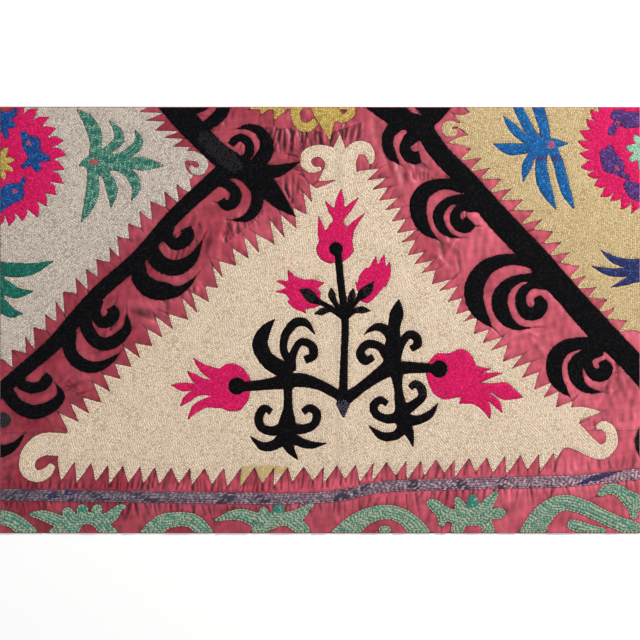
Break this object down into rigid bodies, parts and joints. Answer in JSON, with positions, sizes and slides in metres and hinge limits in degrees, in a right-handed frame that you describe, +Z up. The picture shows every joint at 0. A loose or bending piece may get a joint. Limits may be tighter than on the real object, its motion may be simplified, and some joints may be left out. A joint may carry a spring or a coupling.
{
  "type": "suzani embroidered textile",
  "caption": "Cut length of rose satin lying flat, filled with raised chain-stitch fields, black vines, a tulip spray and border scrolls.",
  "frame": {"origin": "middle of the underside, on the surface that the cloth lies on", "axes": "+X along the stripe to the right, +Y up the cloth from the border to the top, +Z up out of the stitched face"},
  "size_m": [0.9, 0.599, 0.0032],
  "materials": {
    "satin": "rose-pink silk and cotton satin, soft sheen, puckered",
    "cream": "matt silk thread in close chain stitch",
    "grey_white": "matt silk thread in close chain stitch",
    "straw": "matt silk thread in close chain stitch",
    "gold": "matt silk thread in close chain stitch",
    "black": "matt silk thread in close chain stitch",
    "pink": "bright silk thread in close chain stitch",
    "teal": "silk thread in close chain stitch, speckled",
    "dark_green": "silk thread in close chain stitch",
    "blue": "silk thread in close chain stitch",
    "royal": "silk thread in close chain stitch",
    "purple": "silk thread in close chain stitch",
    "navy": "silk thread in close chain stitch",
    "mint": "silk thread in close chain stitch",
    "lavender": "mixed grey and violet thread in close chain stitch",
    "border_green": "mixed green threads in close chain stitch"
  },
  "bodies": {
    "root": {"ball_left_edge": "black", "bird_left_lower": "royal", "bird_left_middle": "royal", "bird_left_upper": "royal", "bird_right_lower": "purple", "bird_right_middle": "purple", "bird_right_upper": "purple", "border_arc_first": "border_green", "border_arch_fourth": "border_green", "border_arch_second": "border_green", "border_arch_third": "border_green", "border_ball_third": "border_green", "border_buds_fourth": "border_green", "border_flower_first": "border_green", "border_flower_second": "border_green", "border_flower_third": "border_green", "border_leaf_last": "border_green", "bud_left": "pink", "bud_right": "pink", "field_grey": "grey_white", "field_straw": "straw", "field_triangle": "cream", "gold_point": "gold", "leaf_left_edge": "black", "leaf_right_edge": "black", "leaves_green": "dark_green", "leaves_navy": "navy", "plant_blue": "blue", "plant_teal": "teal", "rosette_left": "pink", "rosette_right": "pink", "satin_lower_left": "satin", "satin_lower_right": "satin", "satin_upper_left": "satin", "satin_upper_right": "satin", "spray_stems": "black", "star_left": "gold", "star_right": "mint", "stripe": "lavender", "tulip_left": "pink", "tulip_right": "pink", "tulip_top": "pink", "vine_left": "black", "vine_right": "black"}
  },
  "joints": []
}
